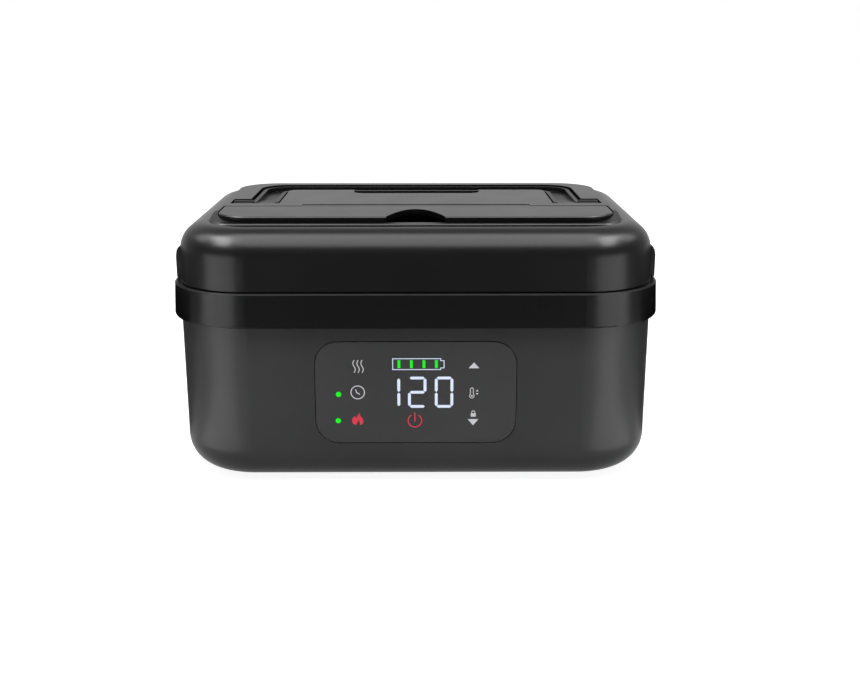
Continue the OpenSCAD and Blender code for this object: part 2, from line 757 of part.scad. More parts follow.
module latch_pins() color([0.7, 0.7, 0.7]) for (x = [-1, 1]) translate([x * latch_x, 0, latch_z])
  bar_y(latch_pin_r, -latch_barrel_l / 2 - gap - knuckle_w, latch_barrel_l / 2 + gap + knuckle_w);

// A wire through a list of points, round at its bends
module wire(points, r) for (i = [0 : len(points) - 2])
  let (run = points[i + 1] - points[i], length = norm(run), turn = atan2(run.y, run.x),
    tip = acos(run.z / length)) {
    translate(points[i]) rotate([0, tip, turn]) cylinder(r = r, h = length);
    if (i > 0) translate(points[i]) sphere(r);
  }

// Two wires from the heater plate down to the top of the main board
module heater_leads() color([0.75, 0.1, 0.1]) for (side = [-1, 1]) let (
    x = side * 4, y0 = -heater_l / 2, y1 = main_board_y - lead_r - 0.9, y2 = main_board_y,
    z0 = heater_z + heater_t / 2, z1 = board_z + main_board_h - 2)
  wire([[x, y0, z0], [x, y1, z0], [x, y1, z1], [x, y2, z1]], lead_r);

// Two wires from the charging jack down and across to the back of the battery board
module charging_leads() color([0.1, 0.1, 0.1]) for (side = [0, 1]) let (
    x0 = port_x + 2 - 4 * side, x1 = battery_board_x + battery_board_w - 1.5 - 2.5 * side,
    y0 = port_wall_y - jack_l, y2 = battery_board_y + 3.8 + 2.2 * side, y1 = y2 + 12,
    y3 = battery_board_y + board_t, z = part_z + 3)
  wire([[x0, y0, port_mid], [x0, y1, port_mid], [x0, y1, z], [x0, y2, z], [x1, y2, z], [x1, y3, z]],
    lead_r);

module food_container() color([0.82, 0.82, 0.83]) difference() {
  union() {
    tub_solid(container_low_u, container_u, container_z, container_rim + container_t, container_fillet);
    slab(container_rim_u, container_rim, container_rim + container_t);
  }
  tub_solid(container_low_u - container_t, container_u - container_t, container_z + container_t,
    container_rim + container_t + cut, container_fillet - container_t);
}

module container_seal() color([0.85, 0.85, 0.86]) difference() {
  slab(container_rim_u - 0.5, container_rim + container_t, cap_z);
  slab(container_u, container_rim, cap_z + cut);
}

module container_lid() color([0.75, 0.77, 0.78]) difference() {
  union() {
    slab(container_rim_u, cap_z, cap_z + container_lid_h);
    difference() {
      slab(container_u - container_t - 0.5, cap_z - lip_depth, cap_z);
      slab(container_u - container_t - 2, cap_z - lip_depth - cut, cap_z);
    }
  }
  translate([0, vent_y, cap_z - cut]) cylinder(r = vent_r + running, h = container_lid_h + 2 * cut);
  difference() {
    slab(container_u - 6, cap_z + container_lid_h - 0.6, cap_z + container_lid_h + cut);
    translate([0, vent_y, cap_z]) cylinder(r = vent_r + 5, h = container_lid_h);
  }
}

module vent_plug() color([0.8, 0.35, 0.15]) translate([0, vent_y, 0]) {
  translate([0, 0, cap_z - 1.5]) cylinder(r = vent_r, h = container_lid_h + 1.5);
  translate([0, 0, cap_z + container_lid_h]) cylinder(r = vent_r + 2.5, h = 1.4);
  translate([-1.5, -1.5, cap_z + container_lid_h + 1.4]) cube([3, 3, 1.8]);
}

// The raised top. Its rails slope down beside the cover to the apron before it.
module raised_top() {
  difference() {
    intersection() {
      translate([0, 0, deck_z - 0.5]) linear_extrude(top_z - deck_z + 0.5)
        tray(top_w, top_y0, top_y1, apron_r, top_u);
      translate([-top_w / 2 - cut, 0, 0]) rotate([90, 0, 90]) linear_extrude(top_w + 2 * cut)
        polygon([[top_y0 - cut, deck_z - cut], [top_y0 - cut, apron_z], [ramp_y0, apron_z],
          [ramp_y1, top_z], [top_y1 + cut, top_z], [top_y1 + cut, deck_z - cut]]);
    }
    translate([0, 0, top_z]) along_edge(top_w, top_y0, top_y1, apron_r, top_u) bevel_outline(0, top_bevel);
    intersection() {
      translate([0, 0, apron_z]) along_edge(top_w, top_y0, top_y1, apron_r, top_u)
        bevel_outline(0, top_bevel);
      translate([-top_w, top_y0 - cut, deck_z]) cube([2 * top_w, ramp_y0 - top_y0 + cut, top_z - deck_z]);
    }
  }
}

// The outline of the recess in the raised top that the cover lies in
module cover_seat() tray(cover_w + 2 * cover_gap, -top_front - cover_gap, cover_back + seam_gap,
  top_front_r + cover_gap, 1 + cover_gap);

// The handle's channel, seen from above: a U round the island
module channel_outline(grow) difference() {
  tray(channel_w + 2 * grow, channel_near - grow, channel_far + grow,
    1 + grow, handle_corner_r + handle_gap + grow);
  tray(island_w - 2 * grow, channel_near - 2 * grow - cut, island_far - grow,
    0.5, handle_in_r - handle_gap);
}

// The pockets beside the channel that the handle's hubs turn in
module hub_pockets(grow) for (x = [-1, 1])
  translate([x * (island_w / 2 + pocket_out) / 2, (channel_near + pocket_far) / 2])
    square([pocket_out - island_w / 2 + 2 * grow, pocket_far - channel_near + 2 * grow],
      center = true);

// The hollow behind the island where fingers reach under the handle
module scoop_outline(grow) translate([0, island_far - scoop_l + (scoop_l + scoop_run) / 2])
  rounded(scoop_w + 2 * grow, scoop_l + scoop_run + 2 * grow, 6 + grow);

module lid_skin(thick) {
  around() {
    polygon([[0, lid_z], [lid_u - thick, lid_z], [lid_high_u - thick, crest_z - shoulder_r],
      [shoulder_u, crest_z - shoulder_r], [shoulder_u, crest_z - thick], [crest_u, crest_z - thick],
      [valley_u, deck_z - thick], [0, deck_z - thick]]);
    translate([shoulder_u, crest_z - shoulder_r]) quarter(shoulder_r - thick);
  }
  core(lid_z, deck_z - thick);
}

module lid_shell() color([0.19, 0.19, 0.2]) {
  difference() {
    union() {
      difference() {
        union() {
          lid_skin(0);
          raised_top();
        }
        translate([0, 0, -cut]) lid_skin(wall + 0.001);
        lid_skin(wall);
      }
      translate([0, 0, bin_floor - housing_t])
        linear_extrude(deck_z - wall - bin_floor + housing_t + 0.1) tray(bin_w + 2 * housing_t,
          -bin_front - housing_t, -bin_back + housing_t, bin_r + housing_t, bin_r + housing_t);
      translate([0, 0, channel_floor - housing_t])
        linear_extrude(deck_z - wall - channel_floor + housing_t + 0.1) channel_outline(housing_t);
      translate([0, 0, pocket_floor - housing_t])
        linear_extrude(deck_z - wall - pocket_floor + housing_t + 0.1) hub_pockets(housing_t);
      translate([0, 0, scoop_floor - housing_t])
        linear_extrude(deck_z - wall - scoop_floor + housing_t + 0.1) scoop_outline(housing_t);
      for (x = [-1, 1]) translate([0, pivot_y, pivot_z]) {
        bar_x(boss_r, x > 0 ? island_w / 2 - boss_l : -island_w / 2,
          x > 0 ? island_w / 2 : boss_l - island_w / 2);
        bar_x(boss_r, x > 0 ? pocket_out : -pocket_out - boss_l,
          x > 0 ? pocket_out + boss_l : -pocket_out);
      }
      for (p = posts_at) translate([p.x, p.y, liner_z + liner_t])
        cylinder(r = post_r, h = crest_z - wall - liner_z - liner_t + 0.1);
      for (x = [-1, 1]) {
        translate([x * (corner_x + lid_high_u), 0, 0]) rotate(x > 0 ? 0 : 180)
          translate([0, catch_l / 2, 0]) rotate([90, 0, 0]) linear_extrude(catch_l) {
            polygon([[-1, hook_z - 3.4], [catch_out, hook_z - 2], [catch_out, hook_z - gap],
              [-1, hook_z - gap]]);
            polygon([[-1, ridge_z], [ridge_out, ridge_z], [ridge_out, ridge_z + 1.6],
              [-1, ridge_z + 4.2]]);
          }
      }
    }
    translate([0, 0, bin_floor]) linear_extrude(top_z)
      tray(bin_w, -bin_front, -bin_back, bin_r, bin_r);
    translate([0, 0, lip_z]) linear_extrude(top_z) cover_seat();
    translate([-notch_w / 2 - cut, -top_front + cover_gap, lip_z - notch_dip])
      cube([notch_w + 2 * cut, top_front - bin_front + cut, notch_dip + cut]);
    translate([-lug_x, 0, 0]) {
      translate([0, seam_y, hinge_z]) bar_x(barrel_r + barrel_gap, 0, 2 * lug_x);
      translate([0, cover_back - 1, hinge_z])
        cube([2 * lug_x, seam_y + barrel_r + barrel_gap - cover_back + 1, 5]);
    }
    translate([0, 0, channel_floor]) linear_extrude(top_z) channel_outline(0);
    translate([0, 0, pocket_floor]) linear_extrude(top_z) hub_pockets(0);
    translate([0, 0, scoop_floor]) linear_extrude(top_z) scoop_outline(0);
    for (x = [-1, 1]) {
      translate([0, pivot_y, pivot_z]) bar_x(handle_pin_r + snug,
        x > 0 ? island_w / 2 - handle_pin_in : -pocket_out - handle_pin_in,
        x > 0 ? pocket_out + handle_pin_in : -island_w / 2 + handle_pin_in);
      translate([0, seam_y, hinge_z]) bar_x(cover_pin_r + snug,
        x > 0 ? lug_x - 1 : -lug_x - cover_pin_in, x > 0 ? lug_x + cover_pin_in : -lug_x + 1);
    }
    for (p = posts_at) translate([p.x, p.y, liner_z])
      cylinder(r = post_bore_r + snug, h = post_bore_l + cut);
  }
}

module lid_liner() color([0.68, 0.69, 0.7]) difference() {
  slab(liner_u, liner_z, liner_z + liner_t);
  for (p = posts_at) translate([p.x, p.y, liner_z - cut])
    cylinder(r = post_bore_r + running, h = liner_t + 2 * cut);
}

// The ring under the liner that reaches into the rim frame and holds the lid's seal
module seal_carrier() color([0.68, 0.69, 0.7]) around()
  polygon([[plug_u - plug_t, plug_z], [plug_u, plug_z], [plug_u, liner_z], [plug_u - plug_t, liner_z]]);

module liner_screws() color([0.6, 0.6, 0.62]) for (p = posts_at) translate([p.x, p.y, liner_z])
  screw(liner_t + post_bore_l - 1, post_bore_r);

module lid_insulation() color([0.85, 0.83, 0.76]) difference() {
  slab(plug_u - 2, liner_z + liner_t + gap, bin_floor - housing_t - gap);
  for (p = posts_at) translate([p.x, p.y, liner_z]) cylinder(r = post_r + 0.5, h = bin_floor);
}

module lid_seal() color([0.8, 0.8, 0.8]) {
  in_u = plug_u - plug_t;
  around() polygon([[in_u - 1.8, plug_z + 3], [in_u, plug_z + 3], [in_u, plug_z], [plug_u, plug_z],
    [plug_u, seal_z + 0.7], [plug_u - 1.2, seal_z], [in_u, seal_z], [in_u - 1.8, seal_z + 1.2]]);
}

// The notch for a finger in the cover's front edge, a parabola
module notch_outline(grow) {
  half = notch_w / 2 + grow;
  polygon(concat([[-half, -top_front - cut]], [for (i = [0 : notch_segments])
    let (s = 2 * i / notch_segments - 1) [s * half, -top_front + (notch_l + grow) * (1 - s * s)]],
    [[half, -top_front - cut]]));
}

module cutlery_cover() color([0.19, 0.19, 0.2]) difference() {
  union() {
    translate([0, 0, top_z - cover_rim]) linear_extrude(cover_rim)
      tray(cover_w, -top_front, cover_back, top_front_r, 1);
    translate([-lug_x + gap, cover_back - 1, top_z - cover_t])
      cube([2 * lug_x - 2 * gap, seam_y - cover_back + 1, cover_t]);
    translate([0, seam_y, hinge_z]) bar_x(barrel_r - 0.05, -lug_x + gap, lug_x - gap);
  }
  translate([0, 0, top_z - cover_rim - cut]) linear_extrude(cover_rim - cover_t + cut) difference() {
    tray(cover_w - 2 * cover_wall, -top_front + cover_wall, cover_back - cover_wall,
      top_front_r - cover_wall, 1);
    notch_outline(cover_wall);
  }
  translate([0, 0, top_z - cover_rim - cut]) linear_extrude(cover_rim + 2 * cut) notch_outline(0);
  translate([0, 0, top_z]) along_edge(cover_w, -top_front, cover_back, top_front_r, 1)
    bevel_outline(0, cover_bevel);
  for (x = [-1, 1]) translate([0, seam_y, hinge_z]) bar_x(cover_pin_r + running,
    x > 0 ? lug_x - cover_pin_l + cover_pin_in : -lug_x - 1,
    x > 0 ? lug_x + 1 : -lug_x + cover_pin_l - cover_pin_in);
}

module cover_pins() color([0.7, 0.7, 0.7]) for (x = [-1, 1]) translate([0, seam_y, hinge_z])
  bar_x(cover_pin_r, x > 0 ? lug_x - cover_pin_l + cover_pin_in + 0.5 : -lug_x - cover_pin_in + 0.2,
    x > 0 ? lug_x + cover_pin_in - 0.2 : -lug_x + cover_pin_l - cover_pin_in - 0.5);

// The handle's plan, two arms and a grip across, from a distance behind the pivot
module handle_outline(inset, start) difference() {
  tray(handle_w - 2 * inset, pivot_y + start, handle_far - inset, 0.5, handle_corner_r - inset);
  tray(handle_in_w + 2 * inset, pivot_y + start - cut, handle_far - grip_w + inset, 0.5,
    handle_in_r + inset);
}

module handle() color([0.09, 0.09, 0.095]) {
  recess_z = strap_z + (strap_t + strap_web) / 2;
  difference() {
    union() {
      difference() {
        translate([0, 0, strap_z]) linear_extrude(strap_t) handle_outline(0, 0);
        translate([0, 0, strap_z - cut]) linear_extrude((strap_t - strap_web) / 2 + cut)
          handle_outline(strap_rim, hub_r + 2);
      }
      for (x = [-1, 1]) translate([0, pivot_y, pivot_z]) {
        bar_x(nose_r, x > 0 ? handle_in_w / 2 : -handle_w / 2, x > 0 ? handle_w / 2 : -handle_in_w / 2);
        bar_x(hub_r, x > 0 ? handle_w / 2 - 0.5 : -hub_out, x > 0 ? hub_out : 0.5 - handle_w / 2);
      }
    }
    intersection() {
      translate([0, 0, pivot_z]) linear_extrude(top_z) handle_outline(strap_rim, -nose_r);
      translate([-handle_w, 0, 0]) rotate([90, 0, 90]) linear_extrude(2 * handle_w)
        polygon([[pivot_y - nose_r - cut, strap_z + strap_t - recess_front],
          [pivot_y, strap_z + strap_t - recess_front], [pivot_y + recess_run, recess_z],
          [handle_far, recess_z], [handle_far, top_z + cut], [pivot_y - nose_r - cut, top_z + cut]]);
    }
    translate([0, pivot_y, pivot_z]) bar_x(handle_pin_r + running, -handle_w, handle_w);
  }
}

module handle_pins() color([0.7, 0.7, 0.7]) for (x = [-1, 1]) translate([0, pivot_y, pivot_z])
  bar_x(handle_pin_r, x > 0 ? island_w / 2 - handle_pin_in + 0.3 : -pocket_out - handle_pin_in + 0.3,
    x > 0 ? pocket_out + handle_pin_in - 0.3 : -island_w / 2 + handle_pin_in - 0.3);

outer_shell();
rim_frame();
base_plate();
rubber_feet();
base_screws();
heating_chamber();
chamber_insulation();
heater_plate();
ptc_heaters();
heater_clamp();
clamp_screws();
temperature_sensor();
thermal_fuse();
heat_shield();
battery_cells();
cell_holder();
battery_board();
main_board();
display_board();
display_module();
display_ribbon();
panel_lens();
charge_jack();
port_cover();
port_cover_pin();
latch_left();
latch_right();
latch_pins();
heater_leads();
charging_leads();
food_container();
container_seal();
container_lid();
vent_plug();
lid_shell();
lid_liner();
seal_carrier();
liner_screws();
lid_insulation();
lid_seal();
cutlery_cover();
cover_pins();
handle();
handle_pins();
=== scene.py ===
import json
import math

import bmesh
import bpy
from mathutils import Matrix, Vector


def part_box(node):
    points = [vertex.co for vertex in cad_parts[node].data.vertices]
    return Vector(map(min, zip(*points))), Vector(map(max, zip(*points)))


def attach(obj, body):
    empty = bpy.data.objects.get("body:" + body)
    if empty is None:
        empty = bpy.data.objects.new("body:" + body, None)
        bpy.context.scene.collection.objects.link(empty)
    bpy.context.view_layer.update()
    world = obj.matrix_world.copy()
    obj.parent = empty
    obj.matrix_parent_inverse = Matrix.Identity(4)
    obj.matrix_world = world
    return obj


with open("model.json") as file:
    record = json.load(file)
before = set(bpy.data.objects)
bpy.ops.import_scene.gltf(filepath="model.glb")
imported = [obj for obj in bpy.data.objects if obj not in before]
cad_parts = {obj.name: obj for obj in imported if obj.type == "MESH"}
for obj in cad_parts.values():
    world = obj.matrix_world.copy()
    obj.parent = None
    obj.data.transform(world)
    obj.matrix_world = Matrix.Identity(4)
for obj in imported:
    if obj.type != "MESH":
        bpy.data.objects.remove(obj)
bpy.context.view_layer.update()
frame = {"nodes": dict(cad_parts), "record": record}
nodes = frame["nodes"]

MM = 0.001


# Materials

# Most of a noise's values lie between these two
NOISE_LOW = 0.3
NOISE_HIGH = 0.7
# Scales of the noises that drift a shade, smudge a sheen, brush a metal and mottle a lit mark
DRIFT_SCALE = 18.0
SMUDGE_SCALE = 45.0
BRUSH_SCALE = 60.0
GLOW_SCALE = 400.0
# How far shades and roughness drift, as shares of their own values
SHADE_SPREAD = 0.08
SMUDGE_RANGE = (0.95, 1.06)
BRUSH_SHADE = 0.86
BRUSH_RANGE = (0.7, 1.3)
GLOW_SHADE = 0.9
# The depth of grain and brush lines, and how strongly brush lines show
RELIEF_DEPTH = 0.02 * MM
BRUSH_RELIEF = 0.15
# The radius that shading gives a moulded edge
EDGE_RADIUS = 0.25 * MM
EDGE_SAMPLES = 4
# An unlit mark's own shade as a share of its lit colour, and its gloss
GLOW_BASE = 0.2
GLOW_ROUGHNESS = 0.4
GLOW_MIRROR = 0.08


def new_material(name):
    """A material with an empty Principled shader, and its node tree."""
    material = bpy.data.materials.new(name)
    material.use_nodes = True
    tree = material.node_tree
    return material, tree, tree.nodes["Principled BSDF"]


def add(tree, kind, **inputs):
    """A node of that kind, with values set on the sockets named."""
    node = tree.nodes.new(kind)
    for socket, value in inputs.items():
        node.inputs[socket.replace("_", " ")].default_value = value
    return node


def object_noise(tree, scale, detail=3.0, stretch=(1, 1, 1)):
    """Noise in the object's own metres, so that its grain has a real size."""
    coords = tree.nodes.new("ShaderNodeTexCoord")
    mapping = add(tree, "ShaderNodeMapping", Scale=stretch)
    noise = add(tree, "ShaderNodeTexNoise", Scale=scale, Detail=detail, Roughness=0.6)
    tree.links.new(coords.outputs["Object"], mapping.inputs["Vector"])
    tree.links.new(mapping.outputs["Vector"], noise.inputs["Vector"])
    return noise.outputs["Fac"]


def vary(tree, factor, low, high):
    """A noise's value spread between two numbers."""
    spread = add(tree, "ShaderNodeMapRange", From_Min=NOISE_LOW, From_Max=NOISE_HIGH, To_Min=low, To_Max=high)
    tree.links.new(factor, spread.inputs["Value"])
    return spread.outputs["Result"]


def tint(tree, factor, dark, light):
    """A colour that drifts between two shades with a noise."""
    ramp = tree.nodes.new("ShaderNodeValToRGB")
    ramp.color_ramp.elements[0].position = NOISE_LOW
    ramp.color_ramp.elements[0].color = (*dark, 1)
    ramp.color_ramp.elements[1].position = NOISE_HIGH
    ramp.color_ramp.elements[1].color = (*light, 1)
    tree.links.new(factor, ramp.inputs["Fac"])
    return ramp.outputs["Color"]


def bump(tree, height, strength):
    """A relief node that raises the surface a little where the noise is high."""
    node = add(tree, "ShaderNodeBump", Strength=strength, Distance=RELIEF_DEPTH)
    tree.links.new(height, node.inputs["Height"])
    return node


def moulded_plastic(name, colour, roughness, grain=0.5 * MM, relief=0.3, mirror=0.5):
    """Injection moulded plastic: a fine even grain, soft edges, a slow drift of shade and of sheen."""
    material, tree, shader = new_material(name)
    drift = object_noise(tree, DRIFT_SCALE)
    dark = [c * (1 - SHADE_SPREAD) for c in colour]
    light = [c * (1 + SHADE_SPREAD) for c in colour]
    tree.links.new(tint(tree, drift, dark, light), shader.inputs["Base Color"])
    smudge = object_noise(tree, SMUDGE_SCALE, detail=5.0)
    smoothest, roughest = [roughness * share for share in SMUDGE_RANGE]
    tree.links.new(vary(tree, smudge, smoothest, roughest), shader.inputs["Roughness"])
    fine = object_noise(tree, 1 / grain, detail=2.0)
    soft_edge = add(tree, "ShaderNodeBevel", Radius=EDGE_RADIUS)
    soft_edge.samples = EDGE_SAMPLES
    grained = bump(tree, fine, relief)
    tree.links.new(soft_edge.outputs["Normal"], grained.inputs["Normal"])
    tree.links.new(grained.outputs["Normal"], shader.inputs["Normal"])
    shader.inputs["Specular IOR Level"].default_value = mirror
    return material


def brushed_metal(name, colour, roughness, along=(1, 40, 40)):
    """Metal with long fine brush lines."""
    material, tree, shader = new_material(name)
    lines = object_noise(tree, BRUSH_SCALE, detail=6.0, stretch=along)
    dark = [c * BRUSH_SHADE for c in colour]
    tree.links.new(tint(tree, lines, dark, colour), shader.inputs["Base Color"])
    smoothest, roughest = [roughness * share for share in BRUSH_RANGE]
    tree.links.new(vary(tree, lines, smoothest, roughest), shader.inputs["Roughness"])
    tree.links.new(bump(tree, lines, BRUSH_RELIEF).outputs["Normal"], shader.inputs["Normal"])
    shader.inputs["Metallic"].default_value = 1.0
    return material


def glow(name, colour, strength):
    """A lit mark, a little uneven as light through a printed mask is."""
    material, tree, shader = new_material(name)
    drift = object_noise(tree, GLOW_SCALE)
    dark = [c * GLOW_SHADE for c in colour]
    tree.links.new(tint(tree, drift, dark, colour), shader.inputs["Emission Color"])
    shader.inputs["Base Color"].default_value = (*[c * GLOW_BASE for c in colour], 1)
    shader.inputs["Emission Strength"].default_value = strength
    shader.inputs["Roughness"].default_value = GLOW_ROUGHNESS
    shader.inputs["Specular IOR Level"].default_value = GLOW_MIRROR
    return material


# Each material slot's finish: its name, its colour, its roughness and what sets it apart
FINISH = {
    "shell_plastic": moulded_plastic("tub_satin", (0.035, 0.035, 0.0354), 0.34, mirror=0.07),
    "lid_plastic": moulded_plastic("lid_satin", (0.0026, 0.0026, 0.0027), 0.3, mirror=0.07),
    "frame_plastic": moulded_plastic("band_gloss", (0.0018, 0.002, 0.0019), 0.24, relief=0.05, mirror=0.065),
    "trim_plastic": moulded_plastic("trim_satin", (0.0035, 0.0035, 0.0037), 0.36, mirror=0.05),
    "lens_plastic": moulded_plastic("lens_smoke", (0.043, 0.043, 0.0435), 0.4, relief=0.05, mirror=0.08),
    "display_plastic": moulded_plastic("light_guide", (0.6, 0.6, 0.6), 0.5),
    "liner_plastic": moulded_plastic("liner_grey", (0.42, 0.42, 0.43), 0.4),
    "clear_lid": moulded_plastic("container_lid_grey", (0.5, 0.53, 0.55), 0.3),
    "seal_rubber": moulded_plastic("seal_silicone", (0.55, 0.55, 0.56), 0.6, grain=0.3 * MM),
    "vent_rubber": moulded_plastic("vent_silicone", (0.6, 0.12, 0.03), 0.55, grain=0.3 * MM),
    "foot_rubber": moulded_plastic("foot_rubber_black", (0.015, 0.015, 0.015), 0.75,
                                   grain=0.4 * MM, mirror=0.2),
    "steel": brushed_metal("container_steel", (0.62, 0.61, 0.6), 0.28),
    "aluminium": brushed_metal("chamber_aluminium", (0.7, 0.7, 0.71), 0.38),
    "screw_steel": brushed_metal("screw_zinc", (0.5, 0.5, 0.52), 0.35, along=(20, 20, 1)),
    "board": moulded_plastic("solder_resist", (0.01, 0.09, 0.03), 0.3),
    "cell_wrap": moulded_plastic("cell_wrap_blue", (0.02, 0.12, 0.35), 0.3, relief=0.1),
    "ceramic": moulded_plastic("ceramic_white", (0.7, 0.68, 0.6), 0.6),
    "foam": moulded_plastic("felt", (0.6, 0.58, 0.5), 0.95, grain=0.8 * MM, relief=0.9),
    "wire_red": moulded_plastic("wire_red_skin", (0.45, 0.01, 0.01), 0.4),
    "wire_black": moulded_plastic("wire_black_skin", (0.02, 0.02, 0.02), 0.4),
}


# The CAD nodes, which all show as they are

# Faces that meet at less than this angle shade as one smooth surface
EDGE_ANGLE = math.radians(28)
# How far up the normal of a sloping edge face points, at least and at most
EDGE_SLOPE = (0.2, 0.98)


def dress_node(node, finish):
    """Gives a CAD node its finish and smooth faces, and keeps its real edges sharp."""
    mesh = node.data
    mesh.materials.clear()
    mesh.materials.append(finish)
    mesh.shade_smooth()
    mesh.set_sharp_from_angle(angle=EDGE_ANGLE)


def soften_edge(node, finish):
    """Gives the sloping faces at a node's upper edge their own finish, duller than its polished sides."""
    mesh = node.data
    mesh.materials.append(finish)
    for face in mesh.polygons:
        if EDGE_SLOPE[0] < face.normal.z < EDGE_SLOPE[1]:
            face.material_index = 1


for part in frame["record"]["subparts"]:
    dress_node(nodes[part["node"]], FINISH[part["material_slot"]])
soften_edge(nodes["rim_frame"], moulded_plastic("band_edge", (0.002, 0.0022, 0.0021), 0.4, mirror=0.02))


# The display's marks, drawn in millimetres from the middle of the lens

# How far the outer shell's wall leans in towards its bottom, and over what height
LEAN_IN = 0.3
LEAN_HEIGHT = 70.3
FRONT_LEAN = math.atan(LEAN_IN / LEAN_HEIGHT)
LENS_HEIGHT = 50.5
# How far the marks stand off the lens
MARK_LIFT = 0.06
lens_low, lens_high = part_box("panel_lens")
lens_face_y = lens_low.y + 0.5 * LENS_HEIGHT * MM * math.sin(FRONT_LEAN)
LENS_MIDDLE = Vector((0, lens_face_y, (lens_low.z + lens_high.z) / 2))


def on_lens(x, z):
    """A point on the lens's face, from millimetres right of and above its middle."""
    flat = Vector((x * MM, -MARK_LIFT * MM, z * MM))
    return LENS_MIDDLE + Matrix.Rotation(FRONT_LEAN, 3, "X") @ flat


def mark(name, outlines, finish):
    """One flat lit mark made of several outlines, each a list of (x, z) in millimetres."""
    mesh = bmesh.new()
    for outline in outlines:
        corners = [mesh.verts.new(on_lens(x, z)) for x, z in outline]
        face = mesh.faces.new(corners)
        face.normal_update()
        if face.normal.y > 0:
            face.normal_flip()
    bmesh.ops.triangulate(mesh, faces=mesh.faces[:])
    data = bpy.data.meshes.new(name)
    mesh.to_mesh(data)
    mesh.free()
    data.materials.append(finish)
    piece = bpy.data.objects.new(name, data)
    bpy.context.scene.collection.objects.link(piece)
    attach(piece, "base")


def moved(points, x, z):
    """The points, moved by x to the right and by z up."""
    return [(x + u, z + v) for u, v in points]


def disc(x, z, radius, steps=32):
    """A circle's outline."""
    turn = [2 * math.pi * i / steps for i in range(steps)]
    return [(x + radius * math.cos(a), z + radius * math.sin(a)) for a in turn]


def arc(x, z, radius, start, end, steps=28):
    """Points along part of a circle, from one angle to another in degrees."""
    turn = [math.radians(start + (end - start) * i / steps) for i in range(steps + 1)]
    return [(x + radius * math.cos(a), z + radius * math.sin(a)) for a in turn]


def rectangle(x, z, width, height):
    """An upright rectangle's outline about its middle."""
    right, high = width / 2, height / 2
    return moved([(-right, -high), (right, -high), (right, high), (-right, high)], x, z)


def arrow(x, z, half_width, height):
    """A triangle on the middle of its level side, which points up, or down where its height is negative."""
    return moved([(-half_width, 0), (half_width, 0), (0, height)], x, z)


# The corners of the small disc that rounds a line's ends and bends
BEND_STEPS = 10


def stroke(points, width):
    """The outlines of a line of even width through points: a quad for each run, and a disc at each point."""
    shapes = []
    for (x0, z0), (x1, z1) in zip(points, points[1:]):
        length = math.hypot(x1 - x0, z1 - z0)
        dx, dz = (x1 - x0) / length * width / 2, (z1 - z0) / length * width / 2
        shapes.append([(x0 - dz, z0 + dx), (x0 + dz, z0 - dx), (x1 + dz, z1 - dx), (x1 - dz, z1 + dx)])
    shapes += [disc(x, z, width / 2, BEND_STEPS) for x, z in points]
    return shapes


WHITE = glow("lit_white", (0.7, 0.78, 0.96), 0.9)
PRINT = glow("lit_grey", (0.62, 0.62, 0.64), 0.8)
GREEN = glow("lit_green", (0.003, 0.86, 0.008), 0.9)
RED = glow("lit_red", (0.7, 0.045, 0.075), 0.8)

# The number on the display: each digit, and how far right of the middle it stands
DIGITS = (("1", -11.95), ("2", 0.65), ("0", 13.55))
DIGITS_Z = 0.3
DIGIT_W = 8.9
DIGIT_H = 15.7
SEGMENT_W = 1.4
SEGMENT_GAP = 0.3
# Each digit's lit segments: a is the top one, b to f follow it clockwise, and g is the middle one
SEGMENTS = {"0": "abcdef", "1": "bc", "2": "abged"}


def segment(x, z, length, upright):
    """A bar with pointed ends, about its middle."""
    half, side = length / 2, SEGMENT_W / 2
    bar = [(-half, 0), (-half + side, side), (half - side, side),
           (half, 0), (half - side, -side), (-half + side, -side)]
    if upright:
        bar = [(v, u) for u, v in bar]
    return moved(bar, x, z)


def digit(x, z, value):
    """The lit segments of one digit about its middle."""
    right, high = DIGIT_W / 2 - SEGMENT_W / 2, DIGIT_H / 2 - SEGMENT_W / 2
    across, along = DIGIT_W - SEGMENT_W - SEGMENT_GAP, DIGIT_H / 2 - SEGMENT_W / 2 - SEGMENT_GAP
    bars = {
        "a": (0, high, across, False),
        "b": (right, high / 2, along, True),
        "c": (right, -high / 2, along, True),
        "d": (0, -high, across, False),
        "e": (-right, -high / 2, along, True),
        "f": (-right, high / 2, along, True),
        "g": (0, 0, across, False),
    }
    return [segment(x + bars[s][0], z + bars[s][1], *bars[s][2:]) for s in SEGMENTS[value]]


mark("display_digits", [bar for value, x in DIGITS for bar in digit(x, DIGITS_Z, value)], WHITE)

# The battery sign: its case with a tip on the right, and the bars in it
CASE_LEFT = -11.0
CASE_RIGHT = 11.9
CASE_TOP = 17.1
CASE_FOOT = 11.7
TIP_RIGHT = 13.5
TIP_TOP = 16.1
TIP_FOOT = 12.5
CASE_LINE = 0.38
BARS = 4
BAR_W = 1.35
BAR_H = 3.9
BAR_STEP = 5.95
FIRST_BAR_X = -8.0
BARS_Z = 14.4
battery_case = [(CASE_LEFT, CASE_TOP), (CASE_RIGHT, CASE_TOP), (CASE_RIGHT, TIP_TOP), (TIP_RIGHT, TIP_TOP),
                (TIP_RIGHT, TIP_FOOT), (CASE_RIGHT, TIP_FOOT), (CASE_RIGHT, CASE_FOOT),
                (CASE_LEFT, CASE_FOOT), (CASE_LEFT, CASE_TOP)]
mark("battery_outline", stroke(battery_case, CASE_LINE), WHITE)
battery_bars = [rectangle(FIRST_BAR_X + BAR_STEP * i, BARS_Z, BAR_W, BAR_H) for i in range(BARS)]
mark("battery_bars", battery_bars, GREEN)

STATUS_R = 1.3
STATUS_PLACES = ((-37.1, -0.7), (-37.5, -14.05))
mark("status_lights", [disc(x, z, STATUS_R) for x, z in STATUS_PLACES], GREEN)

